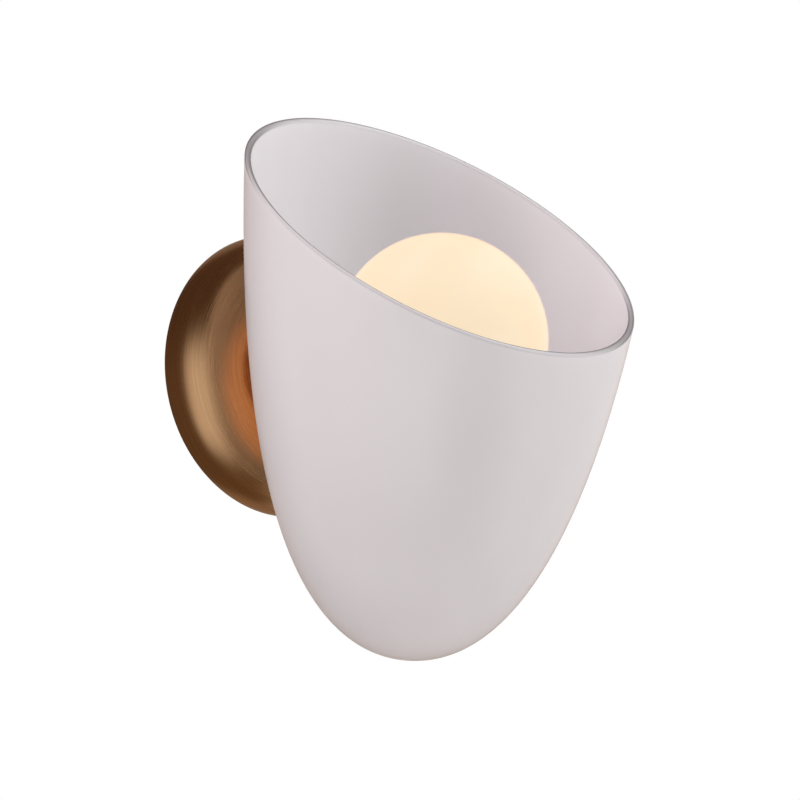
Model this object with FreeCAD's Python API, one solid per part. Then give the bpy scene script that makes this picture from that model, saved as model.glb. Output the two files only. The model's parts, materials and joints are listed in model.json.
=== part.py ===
import FreeCAD, Part
import math
import os

# Wall sconce: a domed brass canopy, a short collar, and an opal glass shade like
# half a shell, its mouth cut at a slant, round a globe lamp that screws in level.
# Millimetres. The wall is the plane Y = 0 and the light stands out towards -Y, +Z up.
# "depth" is a distance out from the wall, so a depth d lies at Y = -d.
# The origin is the middle of the wall strap's back, on the axis of the lampholder.

# --- driving dimensions ---------------------------------------------------------

fit_gap = 0.3              # between a fixed piece and one that turns or is loose in it
seat_gap = 0.1             # between the glass and its gaskets

canopy_radius = 63.5
canopy_depth = 22.0        # height of the front face above the wall
canopy_wall = 1.2
canopy_edge = 1.5          # straight edge at the wall
canopy_face_radius = 34.0  # flat part in front

strap_width = 20.0
strap_sheet = 1.6
strap_gap = 0.5            # between an ear's edge and the canopy's inside
strap_ear_depth = 10.5
strap_ear_round = 4.5
strap_bend_radius = 1.5    # inside the bend
strap_wire_hole_radius = 7.0
box_screw_near = 69.85     # closest pair of outlet box screws that the slots take
box_screw_far = 88.9       # widest pair
slot_half_width = 2.3

grub_radius = 2.0          # M4
grub_length = 8.0
grub_depth = 6.0           # distance of the grub screws from the wall
grub_socket = 2.0          # across flats
grub_socket_depth = 2.5

nipple_radius = 5.0        # M10 x 1 threaded tube
nipple_bore = 3.9
nipple_back = 13.5
nipple_front = 27.6
thread_gap = 0.05          # plain thread fits
nut_across = 14.0
nut_height = 3.0
washer_radius = 9.5
washer_sheet = 0.8
washer_teeth = 12
tag_sheet = 0.8
tag_reach = 12.0           # from the nipple's axis to the end of the earth tag
bush_flange_radius = 5.8
bush_flange = 1.0
bush_bore = 3.2
bush_length = 5.0

collar_radius = 27.0
collar_wall = 2.0
collar_floor = 1.5
gasket_sheet = 1.0         # outer gasket, between collar and glass
gasket_width = 5.0

shade_wall = 3.0
shade_foot_depth = 93.7    # the shade's lowest point on its own axis
shade_foot_height = -139.4
shade_tilt = 9.5           # degrees, the mouth leans out from the wall
shade_length = 260.4       # along its axis, before the slanted cut
shade_mouth_radius = 94.4
shade_nose_pole = 38.0     # how blunt the closed end is
shade_flank_radius = 86.7  # where the flank swings up
shade_flank_height = 43.7
shade_cut_height = 185.8   # where the slanted cut meets the axis
shade_cut_slope = 29.5     # degrees from square to the axis
shade_lip_round = 1.3      # fire-polished lip
shade_hole_radius = 21.0
outline_steps = 12         # steps along an offset outline
outline_spare = 1          # steps past the mouth, trimmed off by the slanted cut

ring_height = 4.5
ring_radius = 27.5
ring_notch = 3.0
ring_chamfer = 1.0
inner_gasket_radius = 26.5

holder_radius = 19.5
holder_back = 25.5
holder_recess_radius = 16.5
holder_recess = 5.5
holder_floor = 3.4
holder_mouth_round = 1.0
bracket_sheet = 2.0
bracket_boss_radius = 7.2
bracket_screw_offset = 9.5  # along X and along Z, on one diagonal
bracket_screw_radius = 1.5
bracket_screw_head = 2.9
bracket_screw_length = 7.5
boss_radius = 3.2

lamp_seat = 4.0            # from the lampholder's floor to the lamp's tip
lamp_radius = 47.3
lamp_length = 130.0
lamp_glass = 0.9
lamp_neck_round = 18.0
lamp_neck_radius = 12.5
cap_radius = 13.1          # E26 / E27 screw cap, over its thread
cap_wall = 0.3
cap_lap = 2.0              # how far the rim reaches over the bend of the neck
cap_stand = 3.4            # how far the rim stands out of the lampholder
cap_contact_radius = 4.8
cap_contact_height = 1.6
cap_contact_chamfer = 1.0
cap_insulator_radius = 11.5
cap_insulator_height = 3.4
cap_eyelet_radius = 2.0
cap_eyelet_length = 3.0

shell_wall = 0.5
shell_flange_bore = 8.0
contact_width = 5.0
contact_sheet = 0.5
rivet_radius = 1.5
rivet_head_radius = 2.4
rivet_head = 0.7
contact_rivet_z = -4.5
shell_rivet_z = 10.6
terminal_sheet = 0.8
terminal_half_width = 2.9
terminal_screw_x = 11.5
terminal_screw_radius = 1.6
terminal_screw_head_radius = 3.0
terminal_screw_head = 1.9
terminal_screw_length = 3.2

lead_radius = 1.0
lead_offset = 1.9          # from the nipple's axis
lead_bend = 3.0            # inside the lampholder
lead_bend_share = 0.45     # largest bend at the end of a run, as a share of the run
block_half_width = 9.0
block_top = -15.3
block_length = 15.0
block_height = 11.0
block_pole = 4.0           # half the distance between the two poles
block_barrel_radius = 2.4
block_screw_radius = 1.5
block_screw_inset = 3.6
block_fix_radius = 1.6
block_fix_head_radius = 2.2
block_fix_head = 1.4
lead_depth = 6.6           # of the leads where they enter the terminal block

earth_screw_z = 15.0
earth_screw_radius = 2.0
earth_head_radius = 3.8
earth_head = 2.4
earth_cup_radius = 4.6
earth_cup = 1.0
earth_loop_z = 26.5        # where the earth lead turns back
earth_bend = 3.2

# --- sizes that follow from them ------------------------------------------------

ear_share = (strap_ear_depth - canopy_edge) / (canopy_depth - canopy_edge - canopy_wall)
ear_reach = (canopy_radius - canopy_face_radius - canopy_wall) * math.sqrt(1 - ear_share ** 2)
strap_half_length = canopy_face_radius + ear_reach - strap_gap
slot_centre = (box_screw_near + box_screw_far) / 4
slot_length = (box_screw_far - box_screw_near) / 2 + 2 * slot_half_width
canopy_inside = canopy_depth - canopy_wall
washer_back = canopy_inside - washer_sheet
tag_back = washer_back - tag_sheet
nut_back = tag_back - nut_height
bracket_back = canopy_depth + collar_floor
recess_depth = holder_back + holder_recess
floor_front = recess_depth + holder_floor
lamp_tip = floor_front + lamp_seat
lamp_centre = lamp_tip + lamp_length - lamp_radius
neck_bend_x = lamp_neck_radius + lamp_neck_round
neck_bend_depth = lamp_centre - math.sqrt((lamp_radius + lamp_neck_round) ** 2 - neck_bend_x ** 2)
cap_back = lamp_tip + cap_contact_height + cap_insulator_height
cap_rim = neck_bend_depth + cap_lap
holder_mouth = cap_rim - cap_stand
shell_bore = cap_radius + fit_gap
shell_radius = shell_bore + shell_wall
terminal_depth = recess_depth - terminal_sheet
box_back = strap_sheet
block_front = box_back + block_height
block_middle = block_top - block_length / 2


# --- shaping tools --------------------------------------------------------------

def point(x, depth, z):
    return FreeCAD.Vector(x, -depth, z)


def turned(wire_edges):
    """Solid of revolution about the lampholder's axis from edges in the plane Z = 0."""
    face = Part.Face(Part.Wire(wire_edges))
    return face.revolve(FreeCAD.Vector(0, 0, 0), FreeCAD.Vector(0, 1, 0), 360)


def lathe(*corners):
    """Turned solid from (radius, depth) corners joined by straight lines."""
    points = [point(radius, depth, 0) for radius, depth in corners]
    return turned(Part.makePolygon(points + points[:1]).Edges)


def rod(radius, back, front, x=0.0, z=0.0):
    return Part.makeCylinder(radius, front - back, point(x, back, z), FreeCAD.Vector(0, -1, 0))


def tube(outer, inner, back, front, x=0.0, z=0.0):
    return rod(outer, back, front, x, z).cut(rod(inner, back, front, x, z))


def block(width, back, front, low, high):
    """Box centred on X = 0 between two depths and two heights."""
    return Part.makeBox(width, front - back, high - low, point(-width / 2, front, low))


def hexagon(across, back, front):
    corner = across / math.sqrt(3)
    turns = [math.radians(60 * step) for step in range(7)]
    outline = [point(corner * math.cos(a), back, corner * math.sin(a)) for a in turns]
    return Part.Face(Part.makePolygon(outline)).extrude(point(0, front - back, 0))


def across_x(outline, width):
    """Plate of the given width from a (height, depth) outline."""
    points = [point(-width / 2, depth, z) for z, depth in outline]
    return Part.Face(Part.makePolygon(points + points[:1])).extrude(point(width, 0, 0))


def bent_tube(points, bends, radius):
    """Round wire along straight runs joined by tangent arcs of the given bend radii."""
    edges = []
    start = points[0]
    for before, corner, after, bend in zip(points, points[1:], points[2:], bends):
        into = (corner - before).normalize()
        out = (after - corner).normalize()
        half_turn = into.getAngle(out) / 2
        trim = bend * math.tan(half_turn)
        enter = corner - into * trim
        leave = corner + out * trim
        inward = (out - into).normalize()
        middle = corner + inward * (bend / math.cos(half_turn) - bend)
        edges.append(Part.makeLine(start, enter))
        edges.append(Part.Arc(enter, middle, leave).toShape())
        start = leave
    edges.append(Part.makeLine(start, points[-1]))
    direction = points[1] - points[0]
    section = Part.Wire(Part.makeCircle(radius, points[0], direction))
    path = Part.Wire(edges)
    solid = path.makePipeShell([section], True, False)
    print("lead", round(path.Length, 1), "mm, bends", [round(bend, 1) for bend in bends],
          "volume ratio", round(solid.Volume / (math.pi * radius ** 2 * path.Length), 4))
    return solid


# --- the glass shade's form -----------------------------------------------------

shade_outline = Part.BezierCurve()
shade_outline.setPoles([
    FreeCAD.Vector(0, 0, 0),
    FreeCAD.Vector(shade_nose_pole, 0, 0),
    FreeCAD.Vector(shade_flank_radius, 0, shade_flank_height),
    FreeCAD.Vector(shade_mouth_radius, 0, shade_length),
])


def placed_shade(shape):
    """Lean a shape made round the Z axis out from the wall and set it at the foot."""
    shape.rotate(FreeCAD.Vector(0, 0, 0), FreeCAD.Vector(1, 0, 0), shade_tilt)
    shape.translate(point(0, shade_foot_depth, shade_foot_height))
    return shape


def outline_point(share, grow):
    """Point of the shade's outline moved out by grow, square to the outline."""
    at = shade_outline.value(share)
    along = shade_outline.tangent(share)[0]
    return at + FreeCAD.Vector(along.z, 0, -along.x) * grow


def shade_body(grow):
    """Whole form of the shade, uncut, with its surface moved out by grow."""
    steps = outline_steps + outline_spare
    curve = Part.BSplineCurve()
    curve.interpolate([outline_point(step / outline_steps, grow) for step in range(steps + 1)])
    foot = curve.StartPoint
    mouth = curve.EndPoint
    top = FreeCAD.Vector(0, 0, mouth.z)
    edges = [curve.toShape(), Part.makeLine(mouth, top), Part.makeLine(top, foot)]
    face = Part.Face(Part.Wire(edges))
    return placed_shade(face.revolve(FreeCAD.Vector(0, 0, 0), FreeCAD.Vector(0, 0, 1), 360))


def above_cut():
    """Everything past the slanted cut of the mouth."""
    size = 3 * shade_length
    half_space = Part.makeBox(size, size, size, FreeCAD.Vector(-size / 2, -size / 2, 0))
    half_space.rotate(FreeCAD.Vector(0, 0, 0), FreeCAD.Vector(1, 0, 0), shade_cut_slope)
    half_space.translate(FreeCAD.Vector(0, 0, shade_cut_height))
    return placed_shade(half_space)


def rear_depth(grow):
    """Depth of the shade's back at the height of the lampholder's axis."""
    tilt = math.radians(shade_tilt)
    low, high = 0.0, 1.0
    for _ in range(40):
        share = (low + high) / 2
        at = outline_point(share, grow)
        height = shade_foot_height + at.z * math.cos(tilt) + at.x * math.sin(tilt)
        low, high = (share, high) if height < 0 else (low, share)
    return shade_foot_depth + at.z * math.sin(tilt) - at.x * math.cos(tilt)


def glass_depth_at(radius, grow):
    """Depth of the shade's back at its sides, this far from the lampholder's axis."""
    round_radius = shade_flank_radius + grow
    return rear_depth(grow) + round_radius - math.sqrt(round_radius ** 2 - radius ** 2)


ring_back = glass_depth_at(inner_gasket_radius, -shade_wall) + gasket_sheet


# --- pieces on the wall ---------------------------------------------------------

def canopy():
    across = canopy_radius - canopy_face_radius
    rise = canopy_depth - canopy_edge

    def shoulder(inset):
        """Quarter ellipse from the edge to the flat front."""
        middle = point(canopy_face_radius, canopy_edge, 0)
        side = point(canopy_radius - inset, canopy_edge, 0)
        top = point(canopy_face_radius, canopy_depth - inset, 0)
        sine = math.sin(math.radians(45))
        between = middle + (side - middle) * sine + (top - middle) * sine
        if across > rise:
            ellipse = Part.Ellipse(side, top, middle)
        else:
            ellipse = Part.Ellipse(top, side, middle)
        start, end = sorted((ellipse.parameter(side), ellipse.parameter(top)))
        if not start < ellipse.parameter(between) < end:
            start, end = end, start + 2 * math.pi
        return Part.ArcOfEllipse(ellipse, start, end).toShape(), side, top

    outside, side, top = shoulder(0)
    inside, inner_side, inner_top = shoulder(canopy_wall)
    hole = nipple_radius + fit_gap
    edges = [
        Part.makeLine(point(canopy_radius, 0, 0), side),
        outside,
        Part.makeLine(top, point(hole, canopy_depth, 0)),
        Part.makeLine(point(hole, canopy_depth, 0), point(hole, canopy_inside, 0)),
        Part.makeLine(point(hole, canopy_inside, 0), inner_top),
        inside,
        Part.makeLine(inner_side, point(canopy_radius - canopy_wall, 0, 0)),
        Part.makeLine(point(canopy_radius - canopy_wall, 0, 0), point(canopy_radius, 0, 0)),
    ]
    dish = turned(Part.sortEdges(edges)[0])
    through = Part.makeCylinder(grub_radius + fit_gap, 2 * canopy_radius,
                                point(0, grub_depth, -canopy_radius), FreeCAD.Vector(0, 0, 1))
    return dish.cut(through)


def grub_place():
    """Height of a grub screw's outer end, just inside the canopy's skin."""
    share = (grub_depth + grub_radius - canopy_edge) / (canopy_depth - canopy_edge)
    across = canopy_radius - canopy_face_radius
    return canopy_face_radius + across * math.sqrt(1 - share ** 2) - seat_gap


def wall_strap():
    half = strap_half_length
    inner = half - strap_sheet
    outline = [(-half, 0), (half, 0), (half, strap_ear_depth), (inner, strap_ear_depth),
               (inner, strap_sheet), (-inner, strap_sheet), (-inner, strap_ear_depth),
               (-half, strap_ear_depth)]
    strap = across_x(outline, strap_width)

    def bends(z, depth):
        return [edge for edge in strap.Edges
                if all(abs(abs(v.Z) - z) < 0.01 and abs(v.Y + depth) < 0.01 for v in edge.Vertexes)
                and abs(edge.Length - strap_width) < 0.01]

    strap = strap.makeFillet(strap_bend_radius, bends(inner, strap_sheet))
    strap = strap.makeFillet(strap_bend_radius + strap_sheet, bends(half, 0))
    corners = [edge for edge in strap.Edges
               if abs(edge.Length - strap_sheet) < 0.01
               and all(abs(v.Y + strap_ear_depth) < 0.01 for v in edge.Vertexes)]
    strap = strap.makeFillet(strap_ear_round, corners)
    for side in (-1, 1):
        low = side * slot_centre - slot_length / 2 + slot_half_width
        high = side * slot_centre + slot_length / 2 - slot_half_width
        slot = block(2 * slot_half_width, 0, strap_sheet, low, high)
        for end in (low, high):
            slot = slot.fuse(rod(slot_half_width, 0, strap_sheet, 0, end))
        strap = strap.cut(slot)
    strap = strap.cut(rod(strap_wire_hole_radius, 0, strap_sheet))
    strap = strap.cut(rod(earth_screw_radius + thread_gap, 0, strap_sheet, 0, earth_screw_z))
    strap = strap.cut(rod(block_fix_radius + thread_gap, 0, strap_sheet, 0, block_middle))
    tapped = Part.makeCylinder(grub_radius + thread_gap, 2 * half,
                               point(0, grub_depth, -half), FreeCAD.Vector(0, 0, 1))
    return strap.cut(tapped)


def grub_screws():
    """Two headless screws that hold the canopy to the strap's ears, above and below."""
    outer = grub_place()
    screw = Part.makeCylinder(grub_radius, grub_length, point(0, grub_depth, outer - grub_length),
                              FreeCAD.Vector(0, 0, 1))
    socket = Part.makeCylinder(grub_socket / 2, grub_socket_depth,
                               point(0, grub_depth, outer - grub_socket_depth), FreeCAD.Vector(0, 0, 1))
    upper = screw.cut(socket)
    lower = upper.mirror(FreeCAD.Vector(0, 0, 0), FreeCAD.Vector(0, 0, 1))
    return Part.makeCompound([upper, lower])


def earth_screw():
    head = rod(earth_head_radius, strap_sheet + earth_cup, strap_sheet + earth_cup + earth_head, 0,
               earth_screw_z)
    slot = block(2 * earth_head_radius, strap_sheet + earth_cup + earth_head / 2,
                 strap_sheet + earth_cup + earth_head, earth_screw_z - strap_sheet / 2,
                 earth_screw_z + strap_sheet / 2)
    shank = rod(earth_screw_radius, 0, strap_sheet + earth_cup, 0, earth_screw_z)
    return head.cut(slot).fuse(shank)


def earth_cup_washer():
    return tube(earth_cup_radius, earth_screw_radius + thread_gap, strap_sheet,
                strap_sheet + earth_cup, 0, earth_screw_z)


# --- threaded tube and what it clamps -------------------------------------------

def nipple():
    return tube(nipple_radius, nipple_bore, nipple_back, nipple_front)


def nipple_nut():
    return hexagon(nut_across, nut_back, tag_back).cut(
        rod(nipple_radius + thread_gap, nut_back, tag_back))


def lock_washer():
    washer = tube(washer_radius, nipple_radius + thread_gap, washer_back, canopy_inside)
    notch = rod(washer_sheet, washer_back, canopy_inside, washer_radius, 0)
    for tooth in range(washer_teeth):
        cut = notch.copy()
        cut.rotate(FreeCAD.Vector(0, 0, 0), FreeCAD.Vector(0, 1, 0), 360 * tooth / washer_teeth)
        washer = washer.cut(cut)
    return washer


def earth_tag():
    tag = rod(washer_radius, tag_back, washer_back)
    tag = tag.fuse(block(2 * terminal_half_width, tag_back, washer_back, 0, tag_reach))
    return tag.cut(rod(nipple_radius + thread_gap, tag_back, washer_back)).removeSplitter()


def wire_bush():
    flange = tube(bush_flange_radius, bush_bore, nipple_back - bush_flange, nipple_back)
    sleeve = tube(nipple_bore - thread_gap, bush_bore, nipple_back, nipple_back + bush_length)
    return flange.fuse(sleeve).removeSplitter()


# --- wiring ---------------------------------------------------------------------

def supply_lead(side):
    """Insulated lead from a lampholder terminal, through the tube, to the terminal block."""
    lead_front = terminal_depth - lead_radius - seat_gap
    end_x = terminal_screw_x - terminal_screw_head_radius - fit_gap
    points = [
        point(side * end_x, lead_front, 0),
        point(side * lead_offset, lead_front, 0),
        point(side * lead_offset, lead_depth, 0),
        point(side * block_pole, lead_depth, block_top),
    ]
    drop = (points[3] - points[2]).Length
    return bent_tube(points, [lead_bend, lead_bend_share * drop], lead_radius)


def earth_lead():
    start_depth = tag_back - lead_radius
    end_depth = strap_sheet + earth_cup + lead_radius + seat_gap
    end_z = earth_screw_z + earth_head_radius + fit_gap
    points = [
        point(0, start_depth, washer_radius + lead_radius),
        point(0, start_depth, earth_loop_z),
        point(0, end_depth, earth_loop_z),
        point(0, end_depth, end_z),
    ]
    first = (points[1] - points[0]).Length
    return bent_tube(points, [lead_bend_share * first, earth_bend], lead_radius)


def terminal_places():
    """X and Z of the four clamp screws of the terminal block."""
    heights = (block_top - block_screw_inset, block_top - block_length + block_screw_inset)
    return [(side * block_pole, z) for side in (-1, 1) for z in heights]


def terminal_block():
    body = block(2 * block_half_width, box_back, block_front, block_top - block_length, block_top)
    uprights = [edge for edge in body.Edges if abs(edge.Length - block_height) < 0.01]
    body = body.makeFillet(block_screw_radius, uprights)
    for side in (-1, 1):
        body = body.cut(Part.makeCylinder(block_barrel_radius + seat_gap, block_length,
                                          point(side * block_pole, lead_depth,
                                                block_top - block_length),
                                          FreeCAD.Vector(0, 0, 1)))
    for x, z in terminal_places():
        body = body.cut(rod(block_screw_radius + seat_gap, lead_depth, block_front, x, z))
    body = body.cut(rod(block_fix_radius + seat_gap, box_back, block_front, 0, block_middle))
    body = body.cut(rod(block_fix_head_radius + seat_gap, block_front - block_fix_head, block_front,
                        0, block_middle))
    return body


def terminal_barrels():
    """Two brass clamps inside the terminal block."""
    barrels = []
    for side in (-1, 1):
        barrel = Part.makeCylinder(block_barrel_radius, block_length - 2 * block_screw_radius,
                                   point(side * block_pole, lead_depth,
                                         block_top - block_length + block_screw_radius),
                                   FreeCAD.Vector(0, 0, 1))
        bore = Part.makeCylinder(lead_radius + seat_gap, block_length,
                                 point(side * block_pole, lead_depth, block_top - block_length),
                                 FreeCAD.Vector(0, 0, 1))
        barrel = barrel.cut(bore)
        for x, z in terminal_places():
            barrel = barrel.cut(rod(block_screw_radius + thread_gap, lead_depth,
                                    block_front, x, z))
        barrels.append(barrel)
    return Part.makeCompound(barrels)


def clamp_screws():
    """Four screws that grip the wires in the terminal block."""
    screws = []
    for x, z in terminal_places():
        screw = rod(block_screw_radius, lead_depth + lead_radius + seat_gap,
                    block_front - terminal_sheet, x, z)
        slot = Part.makeBox(2 * block_screw_radius, terminal_sheet, contact_sheet,
                            point(x - block_screw_radius, block_front - terminal_sheet,
                                  z - contact_sheet / 2))
        screws.append(screw.cut(slot))
    return Part.makeCompound(screws)


def block_screw():
    """Screw that fixes the terminal block to the strap."""
    head = rod(block_fix_head_radius, block_front - block_fix_head, block_front, 0, block_middle)
    slot = block(2 * block_fix_head_radius, block_front - block_fix_head / 2, block_front,
                 block_middle - contact_sheet / 2, block_middle + contact_sheet / 2)
    shank = rod(block_fix_radius, 0, block_front - block_fix_head, 0, block_middle)
    return head.cut(slot).fuse(shank)


# --- collar, glass and what clamps it -------------------------------------------

def collar():
    """Turned cup between canopy and glass, its front cut to the saddle of the glass."""
    front = glass_depth_at(collar_radius, 0) + collar_wall
    cup = lathe(
        (nipple_radius + fit_gap, canopy_depth), (collar_radius, canopy_depth),
        (collar_radius, front), (collar_radius - collar_wall, front),
        (collar_radius - collar_wall, bracket_back), (nipple_radius + fit_gap, bracket_back))
    return cup.cut(shade_body(gasket_sheet + seat_gap))


def outer_gasket():
    front = glass_depth_at(collar_radius, 0) + collar_wall
    inside = holder_radius + fit_gap
    ring = tube(inside + gasket_width, inside, canopy_depth + collar_floor, front)
    return ring.common(shade_body(gasket_sheet + seat_gap)).cut(shade_body(seat_gap))


def glass_shade():
    shell = shade_body(0).cut(shade_body(-shade_wall)).cut(above_cut())
    lip = [edge for edge in shell.Edges if on_lip(edge)]
    shell = shell.makeFillet(shade_lip_round, lip)
    return shell.cut(rod(shade_hole_radius, canopy_depth, holder_mouth))


def on_lip(edge):
    """True for the two edges round the slanted mouth."""
    slope = math.radians(shade_cut_slope + shade_tilt)
    lean = math.radians(shade_tilt)
    foot = point(0, shade_foot_depth, shade_foot_height)
    centre = foot + FreeCAD.Vector(0, -math.sin(lean), math.cos(lean)) * shade_cut_height
    square = FreeCAD.Vector(0, -math.sin(slope), math.cos(slope))
    first, last = edge.ParameterRange
    samples = [edge.valueAt(first + (last - first) * step / 4) for step in range(5)]
    return all(abs((sample - centre).dot(square)) < 0.01 for sample in samples)


def inner_gasket():
    """Soft saddle that fills the gap from the curved glass to the flat ring."""
    inside = holder_radius + fit_gap
    ring = tube(inner_gasket_radius, inside, canopy_depth, ring_back)
    return ring.common(shade_body(-shade_wall - seat_gap))


def shade_ring():
    """Threaded ring on the lampholder that clamps the glass, with spanner notches."""
    ring = lathe(
        (holder_radius + thread_gap, ring_back), (ring_radius, ring_back),
        (ring_radius, ring_back + ring_height - ring_chamfer),
        (ring_radius - ring_chamfer, ring_back + ring_height),
        (holder_radius + thread_gap, ring_back + ring_height))
    for turn in range(4):
        notch = Part.makeBox(ring_notch, ring_notch, ring_notch,
                             point(ring_radius - ring_notch / 2, ring_back + ring_height + ring_notch / 2,
                                   -ring_notch / 2))
        notch.rotate(FreeCAD.Vector(0, 0, 0), FreeCAD.Vector(0, 1, 0), 90 * turn)
        ring = ring.cut(notch)
    return ring


# --- lampholder -----------------------------------------------------------------

def bracket_screw_places():
    return [(-bracket_screw_offset, bracket_screw_offset), (bracket_screw_offset, -bracket_screw_offset)]


def lampholder_body():
    bore = shell_radius + fit_gap
    body = lathe(
        (holder_recess_radius, holder_back), (holder_radius, holder_back),
        (holder_radius, holder_mouth - holder_mouth_round),
        (holder_radius - holder_mouth_round, holder_mouth), (bore, holder_mouth),
        (bore, floor_front), (0, floor_front), (0, recess_depth),
        (holder_recess_radius, recess_depth))
    for x, z in bracket_screw_places():
        body = body.fuse(rod(boss_radius, holder_back, recess_depth, x, z))
        body = body.cut(rod(bracket_screw_radius + thread_gap, holder_back,
                            bracket_back + bracket_screw_length + fit_gap, x, z))
    for z in (contact_rivet_z, shell_rivet_z):
        body = body.cut(rod(rivet_radius + thread_gap, recess_depth, floor_front, 0, z))
    for x in (-terminal_screw_x, terminal_screw_x):
        body = body.cut(rod(terminal_screw_radius + thread_gap, recess_depth,
                            recess_depth + terminal_screw_length - terminal_sheet + seat_gap, x))
    return body.removeSplitter()


def lampholder_bracket():
    plate = rod(holder_radius - bracket_sheet, bracket_back, holder_back)
    plate = plate.fuse(rod(bracket_boss_radius, holder_back, nipple_front))
    plate = plate.cut(rod(nipple_radius + thread_gap, bracket_back, nipple_front))
    for x, z in bracket_screw_places():
        plate = plate.cut(countersunk(x, z, thread_gap))
    return plate.removeSplitter()


def countersunk(x, z, grow):
    """Countersunk screw with its head flush with the back of the bracket."""
    head = Part.makeCone(bracket_screw_head + grow, bracket_screw_radius + grow,
                         bracket_screw_head - bracket_screw_radius, point(x, bracket_back, z),
                         FreeCAD.Vector(0, -1, 0))
    shank = rod(bracket_screw_radius + grow, bracket_back, bracket_back + bracket_screw_length, x, z)
    return head.fuse(shank)


def bracket_screws():
    screws = []
    for x, z in bracket_screw_places():
        slot = Part.makeBox(contact_sheet, contact_sheet, 2 * bracket_screw_head,
                            point(x - contact_sheet / 2, bracket_back + contact_sheet,
                                  z - bracket_screw_head))
        screws.append(countersunk(x, z, 0).cut(slot))
    return Part.makeCompound(screws)


def screw_shell():
    """Plain form of the threaded sleeve that takes the lamp's cap."""
    shell = lathe(
        (shell_flange_bore, floor_front), (shell_radius, floor_front),
        (shell_radius, holder_mouth - 2 * holder_mouth_round),
        (shell_bore, holder_mouth - 2 * holder_mouth_round),
        (shell_bore, floor_front + shell_wall), (shell_flange_bore, floor_front + shell_wall))
    return shell.cut(rod(rivet_radius + thread_gap, floor_front, floor_front + shell_wall,
                         0, shell_rivet_z))


def centre_contact():
    """Springy tongue riveted to the floor and raised under the lamp's tip."""
    top = lamp_tip - fit_gap
    back = [(contact_rivet_z - rivet_head_radius, floor_front),
            (contact_rivet_z + rivet_head_radius, floor_front),
            (-contact_sheet, top - contact_sheet),
            (contact_width / 2, top - contact_sheet)]
    front = [(z, depth + contact_sheet) for z, depth in reversed(back)]
    tongue = across_x(back + front, contact_width)
    return tongue.cut(rod(rivet_radius + thread_gap, floor_front, floor_front + contact_sheet,
                          0, contact_rivet_z))


def rivet(z, front):
    """Rivet through the floor, from a terminal plate to the piece in front of it."""
    back = terminal_depth
    shank = rod(rivet_radius, back, front, 0, z)
    return shank.fuse(rod(rivet_head_radius, back - rivet_head, back, 0, z)).fuse(
        rod(rivet_head_radius, front, front + rivet_head, 0, z))


def contact_rivet():
    return rivet(contact_rivet_z, floor_front + contact_sheet)


def shell_rivet():
    return rivet(shell_rivet_z, floor_front + shell_wall)


def terminal_plate(screw_x, rivet_z):
    """Brass link from a rivet to a terminal screw, on the floor of the rear recess."""
    reach = math.hypot(screw_x, rivet_z)
    bar = Part.makeBox(reach, terminal_sheet, 2 * terminal_half_width,
                       point(0, recess_depth, -terminal_half_width))
    angle = math.degrees(math.atan2(-rivet_z, screw_x))
    bar.rotate(FreeCAD.Vector(0, 0, 0), FreeCAD.Vector(0, -1, 0), angle)
    bar.translate(point(0, 0, rivet_z))
    plate = bar.fuse(rod(terminal_half_width, terminal_depth, recess_depth, 0, rivet_z))
    plate = plate.fuse(rod(terminal_half_width, terminal_depth, recess_depth, screw_x, 0))
    plate = plate.cut(rod(rivet_radius + thread_gap, terminal_depth, recess_depth, 0, rivet_z))
    plate = plate.cut(rod(terminal_screw_radius + thread_gap, terminal_depth, recess_depth, screw_x, 0))
    return plate.removeSplitter()


def terminal_screws():
    screws = []
    for x in (-terminal_screw_x, terminal_screw_x):
        head = rod(terminal_screw_head_radius, terminal_depth - terminal_screw_head, terminal_depth, x)
        slot = Part.makeBox(2 * terminal_screw_head_radius, contact_sheet, contact_sheet,
                            point(x - terminal_screw_head_radius,
                                  terminal_depth - terminal_screw_head + contact_sheet,
                                  -contact_sheet / 2))
        shank = rod(terminal_screw_radius, terminal_depth, terminal_depth + terminal_screw_length, x)
        screws.append(head.cut(slot).fuse(shank))
    return Part.makeCompound(screws)


# --- lamp -----------------------------------------------------------------------

def lamp_outline(inset):
    """Edges from the front pole round the globe, in along the neck arc, to the neck's end."""
    globe = lamp_radius - inset
    neck = lamp_neck_radius - inset
    bend = lamp_neck_round + inset
    share = globe / (globe + bend)
    touch = point(neck_bend_x * share, lamp_centre + (neck_bend_depth - lamp_centre) * share, 0)
    pole = point(0, lamp_centre + globe, 0)
    side = point(globe, lamp_centre, 0)
    neck_start = point(neck, neck_bend_depth, 0)
    middle_turn = math.atan2(lamp_centre - neck_bend_depth, neck_bend_x) / 2
    middle = point(neck_bend_x - bend * math.cos(middle_turn),
                   neck_bend_depth + bend * math.sin(middle_turn), 0)
    neck_end = point(neck, cap_back + cap_insulator_height, 0)
    return [
        Part.Arc(pole, side, touch).toShape(),
        Part.Arc(touch, middle, neck_start).toShape(),
        Part.makeLine(neck_start, neck_end),
    ]


def lamp_globe():
    """Opal glass bulb, open at the neck end that is cemented into the cap."""
    outside = lamp_outline(0)
    inside = lamp_outline(lamp_glass)
    ends = [
        Part.makeLine(outside[-1].Vertexes[-1].Point, inside[-1].Vertexes[-1].Point),
        Part.makeLine(outside[0].Vertexes[0].Point, inside[0].Vertexes[0].Point),
    ]
    return turned(Part.sortEdges(outside + inside + ends)[0])


def lamp_cap():
    """Plain form of the screw cap."""
    inner = cap_radius - cap_wall
    curl = cap_back + cap_wall
    return lathe((cap_insulator_radius, cap_back), (cap_radius, cap_back + cap_wall),
                 (cap_radius, cap_rim), (inner, cap_rim), (inner, curl + cap_wall),
                 (cap_insulator_radius, curl))


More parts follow.
